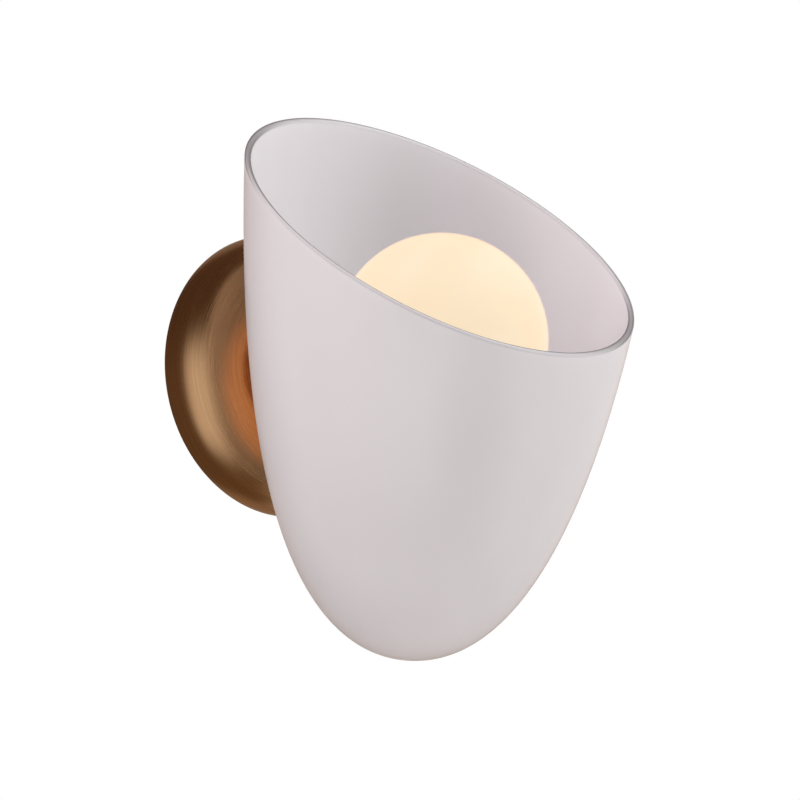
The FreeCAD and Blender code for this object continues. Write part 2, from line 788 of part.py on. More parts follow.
def lamp_insulator():
    """Black glass cone between the screw cap and the tip."""
    tip_back = lamp_tip + cap_contact_height
    bore = cap_eyelet_radius + thread_gap
    return lathe((bore, tip_back + seat_gap), (cap_contact_radius, tip_back + seat_gap),
                 (cap_insulator_radius, cap_back), (cap_insulator_radius - seat_gap, cap_back + cap_wall),
                 (cap_insulator_radius - seat_gap, cap_back + 2 * cap_wall), (bore, cap_back + 2 * cap_wall))


def lamp_contact():
    """Soldered tip of the lamp with its eyelet."""
    tip_front = lamp_tip + cap_contact_height
    return lathe((0, lamp_tip), (cap_contact_radius - cap_contact_chamfer, lamp_tip),
                 (cap_contact_radius, lamp_tip + cap_contact_chamfer), (cap_contact_radius, tip_front), (cap_eyelet_radius, tip_front),
                 (cap_eyelet_radius, tip_front + cap_eyelet_length), (0, tip_front + cap_eyelet_length))


# --- write one file per piece ---------------------------------------------------

pieces = {
    "canopy": canopy(),
    "wall_strap": wall_strap(),
    "canopy_grub_screws": grub_screws(),
    "earth_screw": earth_screw(),
    "earth_cup_washer": earth_cup_washer(),
    "earth_tag": earth_tag(),
    "earth_lead": earth_lead(),
    "threaded_nipple": nipple(),
    "nipple_nut": nipple_nut(),
    "lock_washer": lock_washer(),
    "wire_bush": wire_bush(),
    "line_lead": supply_lead(-1),
    "neutral_lead": supply_lead(1),
    "terminal_block": terminal_block(),
    "terminal_barrels": terminal_barrels(),
    "clamp_screws": clamp_screws(),
    "block_screw": block_screw(),
    "collar": collar(),
    "outer_gasket": outer_gasket(),
    "glass_shade": glass_shade(),
    "inner_gasket": inner_gasket(),
    "shade_ring": shade_ring(),
    "lampholder_body": lampholder_body(),
    "lampholder_bracket": lampholder_bracket(),
    "bracket_screws": bracket_screws(),
    "screw_shell": screw_shell(),
    "centre_contact": centre_contact(),
    "contact_rivet": contact_rivet(),
    "shell_rivet": shell_rivet(),
    "line_terminal": terminal_plate(-terminal_screw_x, contact_rivet_z),
    "neutral_terminal": terminal_plate(terminal_screw_x, shell_rivet_z),
    "terminal_screws": terminal_screws(),
    "lamp_globe": lamp_globe(),
    "lamp_cap": lamp_cap(),
    "lamp_insulator": lamp_insulator(),
    "lamp_contact": lamp_contact(),
}

os.makedirs("parts", exist_ok=True)
for name, shape in pieces.items():
    shape.exportStep("parts/" + name + ".step")
    box = shape.BoundBox
    print(name, len(shape.Solids), shape.isValid(), round(shape.Volume, 1),
          [round(v, 1) for v in (box.XMin, box.XMax, box.YMin, box.YMax, box.ZMin, box.ZMax)])
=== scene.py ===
import json
import math
import bmesh
import bpy
import numpy as np
from mathutils import Matrix, Vector


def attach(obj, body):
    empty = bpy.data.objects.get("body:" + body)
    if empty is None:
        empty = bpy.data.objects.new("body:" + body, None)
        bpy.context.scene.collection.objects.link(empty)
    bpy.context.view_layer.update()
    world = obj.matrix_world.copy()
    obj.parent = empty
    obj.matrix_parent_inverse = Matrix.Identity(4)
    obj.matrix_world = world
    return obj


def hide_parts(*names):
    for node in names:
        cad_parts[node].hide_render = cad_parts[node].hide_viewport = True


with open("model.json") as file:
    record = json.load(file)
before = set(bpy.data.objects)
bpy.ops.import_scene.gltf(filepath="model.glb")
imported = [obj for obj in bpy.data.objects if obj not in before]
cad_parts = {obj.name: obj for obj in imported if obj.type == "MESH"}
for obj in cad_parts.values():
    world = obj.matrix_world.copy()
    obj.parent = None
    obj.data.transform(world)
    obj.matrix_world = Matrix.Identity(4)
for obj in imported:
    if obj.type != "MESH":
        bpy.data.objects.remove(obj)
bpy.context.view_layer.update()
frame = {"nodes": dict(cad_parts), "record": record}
mm = 0.001
tau = 2 * math.pi


def makeMesh(name, points, faces, smoothAngle=40, skin=None):
    # points is an array of places and faces lists their numbers; skin gives each point its (u, v)
    mesh = bpy.data.meshes.new(name)
    mesh.from_pydata(points.reshape(-1, 3).tolist(), [], faces)
    if skin is not None:
        layer = mesh.uv_layers.new(name="skin")
        loopVertex = np.zeros(len(mesh.loops), np.int32)
        mesh.loops.foreach_get("vertex_index", loopVertex)
        layer.data.foreach_set("uv", skin.reshape(-1, 2)[loopVertex].astype(np.float32).ravel())
    mesh.polygons.foreach_set("use_smooth", np.ones(len(mesh.polygons), bool))
    mesh.set_sharp_from_angle(angle=math.radians(smoothAngle))
    mesh.validate()
    piece = bpy.data.objects.new(name, mesh)
    bpy.context.scene.collection.objects.link(piece)
    return piece


def gridFaces(rows, columns, closeRows):
    # quads of a rows x columns grid whose columns wrap round, and whose rows do too if closeRows
    row, column = np.meshgrid(np.arange(rows if closeRows else rows - 1), np.arange(columns),
                              indexing="ij")
    nextRow = (row + 1) % rows
    nextColumn = (column + 1) % columns
    corners = [row * columns + column, row * columns + nextColumn,
               nextRow * columns + nextColumn, nextRow * columns + column]
    return np.stack(corners, -1).reshape(-1, 4)


def capPoles(piece):
    # merges each ring that has shrunk to a point (under 0.1 micrometre), then turns all faces
    # outwards
    work = bmesh.new()
    work.from_mesh(piece.data)
    bmesh.ops.remove_doubles(work, verts=work.verts, dist=1e-7)
    bmesh.ops.dissolve_degenerate(work, dist=1e-8, edges=work.edges)
    bmesh.ops.recalc_face_normals(work, faces=work.faces)
    work.to_mesh(piece.data)
    work.free()
    return piece


def latheSurface(name, profile, segments, closed=True, smoothAngle=40):
    # (radius, depth) profile turned about the lampholder's axis:
    # x = radius cos a, y = -depth, z = radius sin a
    radius, depth = np.array(profile, float).T[..., None]
    angle = np.linspace(0, tau, segments, endpoint=False)
    points = np.stack([radius * np.cos(angle), -depth + 0 * angle, radius * np.sin(angle)], -1)
    faces = gridFaces(len(radius), segments, closed).tolist()
    return capPoles(makeMesh(name, points * mm, faces, smoothAngle))


def arc(centre, radiusX, radiusY, start, end, steps):
    # points centre + (radiusX cos a, radiusY sin a) for angles from start to end in degrees
    a = np.radians(np.linspace(start, end, steps))
    return np.stack([centre[0] + radiusX * np.cos(a), centre[1] + radiusY * np.sin(a)], -1).tolist()


def colour(hexText):
    # sRGB hex to linear red, green, blue and alpha: ((c + 0.055) / 1.055) to the power 2.4,
    # or c / 12.92 where it is nearly black
    values = np.array([int(hexText[i:i + 2], 16) for i in (1, 3, 5)]) / 255
    linear = np.where(values <= 0.04045, values / 12.92, ((values + 0.055) / 1.055) ** 2.4)
    return (*linear.tolist(), 1.0)


def grey(value):
    return (value, value, value, 1.0)


def addNode(material, kind, settings=None, inputs=None, stops=()):
    # one node; an input that is a socket is linked and any other is set;
    # stops are a colour ramp's positions and colours, from left to right
    tree = material.node_tree
    node = tree.nodes.new(kind)
    for key, value in (settings or {}).items():
        setattr(node, key, value)
    for key, value in (inputs or {}).items():
        socket = node.inputs[key]
        if isinstance(value, bpy.types.NodeSocket):
            tree.links.new(value, socket)
        else:
            socket.default_value = value
    for number, (position, value) in enumerate(stops):
        elements = node.color_ramp.elements
        element = elements[number] if number < len(elements) else elements.new(position)
        element.position, element.color = position, value
    return node


def newMaterial(name):
    material = bpy.data.materials.new(name)
    material.use_nodes = True
    material.node_tree.nodes.clear()
    return material


def finishMaterial(material, surface):
    addNode(material, "ShaderNodeOutputMaterial", None, {"Surface": surface})
    return material


def twoTones(dark, pale):
    # stops that spread a noise, which seldom leaves 0.3 to 0.7, over two colours
    return [(0.3, colour(dark)), (0.7, colour(pale))]


def turnedCoordinates(m, across, around):
    # noise space that follows the lathe, (radius + y) * across, x / radius * around and
    # z / radius * around: a mark is 1 / across wide and wraps round the axis with no seam
    place = addNode(m, "ShaderNodeTexCoord").outputs["Object"]
    split = addNode(m, "ShaderNodeSeparateXYZ", None, {"Vector": place}).outputs
    flat = addNode(m, "ShaderNodeCombineXYZ", None,
                   {"X": split["X"], "Z": split["Z"]}).outputs["Vector"]
    radius = addNode(m, "ShaderNodeVectorMath", {"operation": "LENGTH"},
                     {0: flat}).outputs["Value"]
    spoke = addNode(m, "ShaderNodeVectorMath", {"operation": "NORMALIZE"},
                    {0: flat}).outputs["Vector"]
    spoke = addNode(m, "ShaderNodeSeparateXYZ", None, {"Vector": spoke}).outputs
    outward = addNode(m, "ShaderNodeMath", {"operation": "ADD"},
                      {0: radius, 1: split["Y"]}).outputs["Value"]
    ring = addNode(m, "ShaderNodeMath", {"operation": "MULTIPLY"}, {0: outward, 1: across})
    roundX = addNode(m, "ShaderNodeMath", {"operation": "MULTIPLY"}, {0: spoke["X"], 1: around})
    roundZ = addNode(m, "ShaderNodeMath", {"operation": "MULTIPLY"}, {0: spoke["Z"], 1: around})
    return addNode(m, "ShaderNodeCombineXYZ", None, {
        "X": ring.outputs["Value"], "Y": roundX.outputs["Value"],
        "Z": roundZ.outputs["Value"]}).outputs["Vector"]


antiqueBrass = {
    "pale": "#bd9468", "dark": "#a37c54",
    "roughness": 0.26, "roughnessSwing": 0.06, "anisotropic": 0.3,
    "lacquer": 1.5, "lacquerCover": 0.35, "lacquerRoughness": 0.22,
    "brushPitch": 0.45 * mm,     # drawn coarser than real brushing so that it shows
    "brushDepth": 0.03 * mm, "brushRelief": 0.12,
    "strokes": 1.6,              # marks fade and start again a few times a turn
    "stainsPerMetre": 24.0, "stainShare": 0.25,
}


def brushedBrass():
    # spun brass, stained brown, brushed in circles and lacquered: fine rings that lead a soft
    # highlight round the shoulder
    m = newMaterial("brushed antique brass")
    rings = turnedCoordinates(m, 1 / antiqueBrass["brushPitch"], antiqueBrass["strokes"])
    brush = addNode(m, "ShaderNodeTexNoise", None, {
        "Vector": rings, "Scale": 1.0, "Detail": 3.0, "Roughness": 0.65}).outputs["Fac"]
    place = addNode(m, "ShaderNodeTexCoord").outputs["Object"]
    stain = addNode(m, "ShaderNodeTexNoise", None, {
        "Vector": place, "Scale": antiqueBrass["stainsPerMetre"], "Detail": 2.0}).outputs["Fac"]
    both = addNode(m, "ShaderNodeMix", {"data_type": "FLOAT"},
                   {0: antiqueBrass["stainShare"], 2: brush, 3: stain}).outputs[0]
    tint = addNode(m, "ShaderNodeValToRGB", None, {"Fac": both},
                   twoTones(antiqueBrass["dark"], antiqueBrass["pale"]))
    rough = addNode(m, "ShaderNodeMapRange", None, {
        "Value": brush, "To Min": antiqueBrass["roughness"] - antiqueBrass["roughnessSwing"],
        "To Max": antiqueBrass["roughness"] + antiqueBrass["roughnessSwing"]})
    bump = addNode(m, "ShaderNodeBump", None, {
        "Height": brush, "Strength": antiqueBrass["brushRelief"],
        "Distance": antiqueBrass["brushDepth"]}).outputs["Normal"]
    tangent = addNode(m, "ShaderNodeTangent", {"direction_type": "RADIAL", "axis": "Y"})
    shader = addNode(m, "ShaderNodeBsdfPrincipled", None, {
        "Base Color": tint.outputs["Color"], "Metallic": 1.0,
        "Roughness": rough.outputs["Result"], "Anisotropic": antiqueBrass["anisotropic"],
        "Coat Weight": antiqueBrass["lacquerCover"],
        "Coat Roughness": antiqueBrass["lacquerRoughness"],
        "Coat IOR": antiqueBrass["lacquer"], "Coat Normal": bump,
        "Normal": bump, "Tangent": tangent.outputs["Tangent"]})
    return finishMaterial(m, shader.outputs["BSDF"])


plainMottle = {"glossSwing": 0.15, "bump": 0.25, "lightReach": 1.0 * mm}


def mottled(name, pale, dark, roughness, metallic=0.0, marksPerMetre=400.0, relief=0.02,
            coat=0.0, depthOfLight=0.0):
    # a plain finish with its small variation: colour, gloss and surface follow a fine noise,
    # whose relief is in millimetres; depthOfLight is the share of light scattered inside
    m = newMaterial(name)
    place = addNode(m, "ShaderNodeTexCoord").outputs["Object"]
    noise = addNode(m, "ShaderNodeTexNoise", None, {
        "Vector": place, "Scale": marksPerMetre, "Detail": 4.0}).outputs["Fac"]
    tint = addNode(m, "ShaderNodeValToRGB", None, {"Fac": noise}, twoTones(dark, pale))
    rough = addNode(m, "ShaderNodeMapRange", None, {
        "Value": noise, "To Min": roughness * (1 - plainMottle["glossSwing"]),
        "To Max": roughness * (1 + plainMottle["glossSwing"])})
    bump = addNode(m, "ShaderNodeBump", None, {
        "Height": noise, "Strength": plainMottle["bump"], "Distance": relief * mm})
    shader = addNode(m, "ShaderNodeBsdfPrincipled", None, {
        "Base Color": tint.outputs["Color"], "Metallic": metallic,
        "Roughness": rough.outputs["Result"], "Normal": bump.outputs["Normal"],
        "Coat Weight": coat, "Subsurface Weight": depthOfLight,
        "Subsurface Scale": plainMottle["lightReach"]})
    return finishMaterial(m, shader.outputs["BSDF"])


opal = {
    "pale": "#e1dbdc", "dark": "#d9d2d3", "roughness": 0.24, "ior": 1.5, "gloss": 0.3,
    # the upright streaks are painted soft reflection bands, random in place
    "streaksPerMetre": 14.0, "streakStretch": 0.12,       # streaks are long up and down
    # lip is the colour of the painted dark shade on the lip where it is seen edge on
    "lip": "#625d60", "lipFaceOn": 0.30, "lipFrom": 0.40, "lipTo": 0.75,
    "lipStart": 0.4, "lipEnd": 0.6,               # on v of the skin map, 0 outside to 1 inside
    "lipMiddle": 0.5, "lipFull": 0.07, "lipFade": 0.10,
    # painted glow: the outside of the glass emits warm light near the lamp, in place of lamp light
    # shining through
    "paintedGlow": "#ffb060", "glowStrength": 0.52,
    "glowCentre": (0, -48 * mm, -12 * mm), "glowNear": 33 * mm, "glowFar": 55 * mm,
}


def opalGlass():
    # blown opal glass cased in clear: milky, faintly pink, softly glossy, with upright streaks
    # of tone painted as soft reflection bands, a lip with painted dark shade where seen edge on,
    # and a painted warm glow: the outside itself emits light near the lamp, standing in for its
    # light
    m = newMaterial("cased opal glass")
    place = addNode(m, "ShaderNodeTexCoord").outputs["Object"]
    stretch = addNode(m, "ShaderNodeMapping", None, {
        "Vector": place, "Scale": (1.0, 1.0, opal["streakStretch"])}).outputs["Vector"]
    # painted reflection: random upright streaks of tone stand in for soft bands that tall lights
    # reflect
    paintedReflectionStreaks = addNode(m, "ShaderNodeTexNoise", None, {
        "Vector": stretch, "Scale": opal["streaksPerMetre"], "Detail": 2.0}).outputs["Fac"]
    tint = addNode(m, "ShaderNodeValToRGB", None, {"Fac": paintedReflectionStreaks},
                   twoTones(opal["dark"], opal["pale"])).outputs["Color"]
    skin = addNode(m, "ShaderNodeUVMap", {"uv_map": "skin"}).outputs["UV"]
    along = addNode(m, "ShaderNodeSeparateXYZ", None, {"Vector": skin}).outputs["Y"]
    fromLip = addNode(m, "ShaderNodeMath", {"operation": "SUBTRACT"},
                      {0: along, 1: opal["lipMiddle"]}).outputs["Value"]
    fromLip = addNode(m, "ShaderNodeMath", {"operation": "ABSOLUTE"}, {0: fromLip})
    onLip = addNode(m, "ShaderNodeMapRange", None, {
        "Value": fromLip.outputs["Value"], "From Min": opal["lipFull"],
        "From Max": opal["lipFade"], "To Min": 1.0, "To Max": 0.0}).outputs["Result"]
    # painted shade: the lip turns to the dark lip colour as it is seen more edge on
    facing = addNode(m, "ShaderNodeLayerWeight", None, {"Blend": 0.5}).outputs["Facing"]
    edgeOn = addNode(m, "ShaderNodeMapRange", {"interpolation_type": "SMOOTHSTEP"}, {
        "Value": facing, "From Min": opal["lipFrom"], "From Max": opal["lipTo"],
        "To Min": opal["lipFaceOn"], "To Max": 1.0}).outputs["Result"]
    paintedLipShade = addNode(m, "ShaderNodeMath", {"operation": "MULTIPLY"},
                       {0: onLip, 1: edgeOn}).outputs["Value"]
    tintWithPaintedLipShade = addNode(m, "ShaderNodeMix", {"data_type": "RGBA"},
                    {0: paintedLipShade, 6: tint, 7: colour(opal["lip"])}).outputs[2]
    outside = addNode(m, "ShaderNodeMath", {"operation": "LESS_THAN"},
                      {0: along, 1: opal["lipStart"]}).outputs["Value"]
    # painted glow: emission that fades with distance from a point behind the lamp, on the outside
    # only
    away = addNode(m, "ShaderNodeVectorMath", {"operation": "DISTANCE"},
                   {0: place, 1: opal["glowCentre"]}).outputs["Value"]
    paintedGlowFalloff = addNode(m, "ShaderNodeMapRange", {"interpolation_type": "SMOOTHSTEP"}, {
        "Value": away, "From Min": opal["glowNear"], "From Max": opal["glowFar"],
        "To Min": opal["glowStrength"], "To Max": 0.0}).outputs["Result"]
    paintedGlow = addNode(m, "ShaderNodeMath", {"operation": "MULTIPLY"},
                   {0: paintedGlowFalloff, 1: outside}).outputs["Value"]
    shader = addNode(m, "ShaderNodeBsdfPrincipled", None, {
        "Base Color": tintWithPaintedLipShade, "Roughness": opal["roughness"], "IOR": opal["ior"],
        "Specular IOR Level": opal["gloss"],
        "Emission Color": colour(opal["paintedGlow"]), "Emission Strength": paintedGlow})
    return finishMaterial(m, shader.outputs["BSDF"])


lampGlow = {
    "pale": "#ffeccc", "deep": "#ffe6c0", "mottlesPerMetre": 30.0, "strength": 0.86,
    # edge is the painted shade that greys the globe's light where it is seen edge on
    "edge": "#c9aeb0", "edgeFrom": 0.78, "edgeShare": 0.8, "glass": "#5c5650", "roughness": 0.55,
}


def glowingGlass():
    # matte opal lamp glass, lit evenly from inside by a warm source, with painted shade that greys
    # its light where seen edge on
    m = newMaterial("glowing opal lamp glass")
    place = addNode(m, "ShaderNodeTexCoord").outputs["Object"]
    mottle = addNode(m, "ShaderNodeTexNoise", None, {
        "Vector": place, "Scale": lampGlow["mottlesPerMetre"], "Detail": 2.0}).outputs["Fac"]
    light = addNode(m, "ShaderNodeValToRGB", None, {"Fac": mottle},
                    twoTones(lampGlow["deep"], lampGlow["pale"])).outputs["Color"]
    # painted shade: the emitted light turns to the edge colour as the globe is seen edge on
    facing = addNode(m, "ShaderNodeLayerWeight", None, {"Blend": 0.5}).outputs["Facing"]
    edge = addNode(m, "ShaderNodeMapRange", {"interpolation_type": "SMOOTHSTEP"}, {
        "Value": facing, "From Min": lampGlow["edgeFrom"], "From Max": 1.0,
        "To Max": lampGlow["edgeShare"]}).outputs["Result"]
    lampLightWithPaintedEdgeShade = addNode(m, "ShaderNodeMix", {"data_type": "RGBA"},
                   {0: edge, 6: light, 7: colour(lampGlow["edge"])}).outputs[2]
    shader = addNode(m, "ShaderNodeBsdfPrincipled", None, {
        "Base Color": colour(lampGlow["glass"]), "Roughness": lampGlow["roughness"],
        "Emission Color": lampLightWithPaintedEdgeShade, "Emission Strength": lampGlow["strength"]})
    return finishMaterial(m, shader.outputs["BSDF"])


plainFinishes = {
    "zinc_steel": {          # plated: an even silvery grey, satin
        "name": "zinc plated steel", "pale": "#b9bab8", "dark": "#9fa1a0",
        "roughness": 0.32, "metallic": 1.0, "marksPerMetre": 900.0},
    "green_steel": {         # plated, then dyed for the earth screw
        "name": "green dyed zinc", "pale": "#2f8a4c", "dark": "#1f6d3a",
        "roughness": 0.35, "metallic": 0.8, "marksPerMetre": 900.0},
    "bare_brass": {          # stamped from bright sheet: yellow and shiny
        "name": "stamped bright brass", "pale": "#d9b978", "dark": "#c4a05c",
        "roughness": 0.28, "metallic": 1.0, "marksPerMetre": 700.0},
    "green_insulation": {    # extruded sleeves: soft satin plastic
        "name": "green lead sleeve", "pale": "#2f7d45", "dark": "#266a3a", "roughness": 0.45},
    "black_insulation": {
        "name": "black lead sleeve", "pale": "#232323", "dark": "#191919", "roughness": 0.45},
    "white_insulation": {
        "name": "white lead sleeve", "pale": "#e6e5df", "dark": "#d8d7d0", "roughness": 0.45},
    "nylon": {               # moulded: milky, light sinks in a little
        "name": "moulded nylon", "pale": "#eae7dc", "dark": "#dfdbce",
        "roughness": 0.5, "marksPerMetre": 300.0, "relief": 0.03, "depthOfLight": 0.3},
    "silicone": {            # moulded: milky and soft, light sinks in
        "name": "moulded silicone", "pale": "#e6e2dc", "dark": "#d9d5ce",
        "roughness": 0.4, "marksPerMetre": 300.0, "relief": 0.03, "depthOfLight": 0.5},
    "white_moulding": {      # thermoset from a polished mould: white and glossy
        "name": "white thermoset moulding", "pale": "#efece4", "dark": "#e4e0d6",
        "roughness": 0.28, "marksPerMetre": 500.0, "relief": 0.004, "coat": 0.4},
    "nickel_cap": {          # plated: warm silver, bright
        "name": "nickel plated cap", "pale": "#cdc8bf", "dark": "#b7b1a7",
        "roughness": 0.22, "metallic": 1.0, "marksPerMetre": 800.0},
    "black_glass": {         # fused in place: black, nearly mirror smooth
        "name": "black fused glass", "pale": "#1c1c20", "dark": "#111114",
        "roughness": 0.15, "marksPerMetre": 200.0, "coat": 0.6},
    "solder_tip": {          # a drop that froze: grey and lightly dimpled
        "name": "tin solder", "pale": "#c2c4c6", "dark": "#a3a5a8",
        "roughness": 0.38, "metallic": 1.0, "marksPerMetre": 900.0, "relief": 0.05},
}

finishes = {slotName: mottled(**look) for slotName, look in plainFinishes.items()}
finishes["brushed_brass"] = brushedBrass()
finishes["opal_glass"] = opalGlass()
finishes["lamp_glass"] = glowingGlass()
print("materials ready")


shade = {
    "wall": 3.0, "footDepth": 93.7, "footHeight": -139.4, "tilt": 9.5,
    "length": 260.4, "mouthRadius": 94.4, "nosePole": 38.0,
    "flankRadius": 86.7, "flankHeight": 43.7,
    "cutHeight": 185.8, "cutSlope": 29.5,
    "holeRadius": 21.0, "holeFrom": 20.0, "holeTo": 60.0, "holeTurns": 96,
    "smooth": 60, "angles": 288, "wallRows": 96, "wallSpread": 0.9, "lipRows": 12,
    "longestShare": 1.05, "halvings": 40,        # for finding the mouth
}


def shadeOutline(share, inset):
    # cubic curve from (0, 0) to (mouthRadius, length) with the poles (nosePole, 0) and
    # (flankRadius, flankHeight), moved in by inset along its normal: radius and height along
    # the shade's axis, and the curve's direction
    s = np.asarray(share, float)[..., None]
    poles = np.array([[0, 0], [shade["nosePole"], 0], [shade["flankRadius"], shade["flankHeight"]],
                      [shade["mouthRadius"], shade["length"]]])
    at = ((1 - s) ** 3 * poles[0] + 3 * s * (1 - s) ** 2 * poles[1]
          + 3 * s ** 2 * (1 - s) * poles[2] + s ** 3 * poles[3])
    along = (3 * (1 - s) ** 2 * (poles[1] - poles[0]) + 6 * s * (1 - s) * (poles[2] - poles[1])
             + 3 * s ** 2 * (poles[3] - poles[2]))
    along /= np.linalg.norm(along, axis=-1, keepdims=True)
    inward = np.stack([-along[..., 1], along[..., 0]], -1)
    return at + inset * inward, along


def shareBelowMouth(angle, inset, drop):
    # share of the outline at which it comes within drop of the slanted cut, by halving
    low, high = np.zeros_like(angle), np.ones_like(angle) * shade["longestShare"]
    slope = math.radians(shade["cutSlope"])
    for _ in range(shade["halvings"]):
        middle = (low + high) / 2
        at, along = shadeOutline(middle, inset)
        rise = (at[..., 1] - shade["cutHeight"]) * math.cos(slope)
        above = rise - at[..., 0] * np.sin(angle) * math.sin(slope) > -drop
        low, high = np.where(above, low, middle), np.where(above, middle, high)
    return low


def placeShade(radius, height, angle):
    # from the shade's own (radius, height, angle): lean out by tilt, then move to the foot
    lean = math.radians(shade["tilt"])
    x, y, z = radius * np.cos(angle), radius * np.sin(angle), height
    return np.stack([x, y * math.cos(lean) - z * math.sin(lean) - shade["footDepth"],
                     y * math.sin(lean) + z * math.cos(lean) + shade["footHeight"]], -1)


def shadeShell(name, thick):
    # one closed skin: up the outer wall, round the lip as a cubic curve, and down the inner wall
    angle = np.linspace(0, tau, shade["angles"], endpoint=False)
    outerEnd = shareBelowMouth(angle, 0.0, thick / 2)
    innerEnd = shareBelowMouth(angle, thick, thick / 2)
    steps = np.linspace(0, 1, shade["wallRows"])[:, None] ** shade["wallSpread"]
    outerWall, outerAlong = shadeOutline(steps * outerEnd, 0.0)
    innerWall, innerAlong = shadeOutline(steps[::-1] * innerEnd, thick)
    t = np.linspace(0, 1, shade["lipRows"] + 2)[1:-1, None, None]
    reach = 2 / 3 * thick     # makes the lip nearly round
    a, b = outerWall[-1], innerWall[0]
    lip = ((1 - t) ** 3 * a + 3 * t * (1 - t) ** 2 * (a + reach * outerAlong[-1])
           + 3 * t ** 2 * (1 - t) * (b + reach * innerAlong[0]) + t ** 3 * b)
    rows = np.concatenate([outerWall, lip, innerWall])
    points = placeShade(rows[..., 0], rows[..., 1], angle[None, :] + 0 * rows[..., 0])
    lipStart, lipEnd = opal["lipStart"], opal["lipEnd"]
    along = np.concatenate([np.linspace(0, lipStart, len(outerWall)),
                            lipStart + (lipEnd - lipStart) * t.ravel(),
                            np.linspace(lipEnd, 1, len(innerWall))])
    skin = np.stack([0 * along[:, None] + angle / tau, along[:, None] + 0 * angle], -1)
    faces = gridFaces(len(rows), len(angle), False).tolist()
    return capPoles(makeMesh(name, points * mm, faces, shade["smooth"], skin))


def pierce(piece, radius, back, front):
    # bores a round hole along the lampholder's axis, from the depth back to the depth front
    outline = [(0, back), (radius, back), (radius, front), (0, front)]
    cutter = latheSurface("cutter", outline, shade["holeTurns"], False)
    modifier = piece.modifiers.new("hole", "BOOLEAN")
    modifier.operation, modifier.solver, modifier.object = "DIFFERENCE", "EXACT", cutter
    graph = bpy.context.evaluated_depsgraph_get()
    cut = bpy.data.meshes.new_from_object(piece.evaluated_get(graph))
    piece.modifiers.clear()
    piece.data = cut
    bpy.data.objects.remove(cutter)
    return piece


def dress(piece, body, slot, *nodes):
    piece.data.materials.clear()
    piece.data.materials.append(finishes[slot])
    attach(piece, body)
    if nodes:
        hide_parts(*nodes)
    return piece


shadePiece = pierce(shadeShell("glassShade", shade["wall"]),
                    shade["holeRadius"], shade["holeFrom"], shade["holeTo"])
dress(shadePiece, "fixture", "opal_glass", "glass_shade")
print("glass shade", len(shadePiece.data.polygons))


canopy = {
    "radius": 63.5, "depth": 22.0, "wall": 1.2, "edge": 1.5, "round": 0.25,
    "face": 34.0, "hole": 5.3,                    # radii of the flat face and of its hole
    "shoulderSteps": 48, "faceSteps": 12, "insideSteps": 40, "turns": 256, "smooth": 35,
}


def canopyProfile():
    # out from the rim over an elliptical shoulder to the flat face and its hole, and back inside
    across, rise = canopy["radius"] - canopy["face"], canopy["depth"] - canopy["edge"]
    wall = canopy["wall"]
    centre = (canopy["face"], canopy["edge"])
    rim = [(canopy["radius"] - canopy["round"], 0), (canopy["radius"], canopy["round"])]
    shoulder = arc(centre, across, rise, 0, 90, canopy["shoulderSteps"])
    faceRadii = np.linspace(canopy["face"], canopy["hole"], canopy["faceSteps"])
    face = [(radius, canopy["depth"]) for radius in faceRadii[1:]]
    inside = arc(centre, across - wall, rise - wall, 90, 0, canopy["insideSteps"])
    return (rim + shoulder + face + [(canopy["hole"], canopy["depth"] - wall)]
            + inside + [(canopy["radius"] - wall, 0)])


dress(latheSurface("canopyDish", canopyProfile(), canopy["turns"], True, canopy["smooth"]),
      "fixture", "brushed_brass", "canopy")

lamp = {
    "centre": 121.1, "radius": 47.3, "glass": 0.9,
    "neckRound": 18.0, "neckRadius": 12.5, "neckEnd": 46.8,
    "globeSteps": 96, "neckSteps": 20, "turns": 192, "smooth": 60,
}


def lampProfile(inset):
    # round the globe from its front, through the hollow curve that meets it, and down the neck
    globe, neck = lamp["radius"] - inset, lamp["neckRadius"] - inset
    bend = lamp["neckRound"] + inset
    bendX = neck + bend
    bendDepth = lamp["centre"] - math.sqrt((globe + bend) ** 2 - bendX ** 2)
    turn = math.degrees(math.atan2(lamp["centre"] - bendDepth, bendX))
    sphere = arc((0, lamp["centre"]), globe, globe, 90, -turn, lamp["globeSteps"])
    hollow = arc((bendX, bendDepth), bend, bend, 180 - turn, 180, lamp["neckSteps"])
    return sphere + hollow[1:] + [(neck, lamp["neckEnd"])]


lampSkin = lampProfile(0) + lampProfile(lamp["glass"])[::-1]
lampPiece = dress(latheSurface("lampGlobe", lampSkin, lamp["turns"], True, lamp["smooth"]),
                  "lamp", "lamp_glass", "lamp_globe")
lampPiece.visible_diffuse = False     # the photograph's white balance hides its warm light
print("turned pieces ready")

for node, piece in frame["nodes"].items():
    if not piece.hide_render:
        slotName = next(row["material_slot"] for row in frame["record"]["subparts"]
                        if row["node"] == node)
        piece.data.materials.clear()
        piece.data.materials.append(finishes[slotName])


def awayTo(azimuth, elevation):
    # unit vector from the object: azimuth turns from straight out of the wall towards +X
    a, e = math.radians(azimuth), math.radians(elevation)
    return Vector((math.sin(a) * math.cos(e), -math.cos(a) * math.cos(e), math.sin(e)))


view = {"azimuth": -36.44, "elevation": -9.41, "distance": 6000.0, "pixelsPerMm": 2.2623,
        "target": (0, -90, 0), "targetPixel": (399.5, 349.3), "image": 800, "sensor": 36.0}


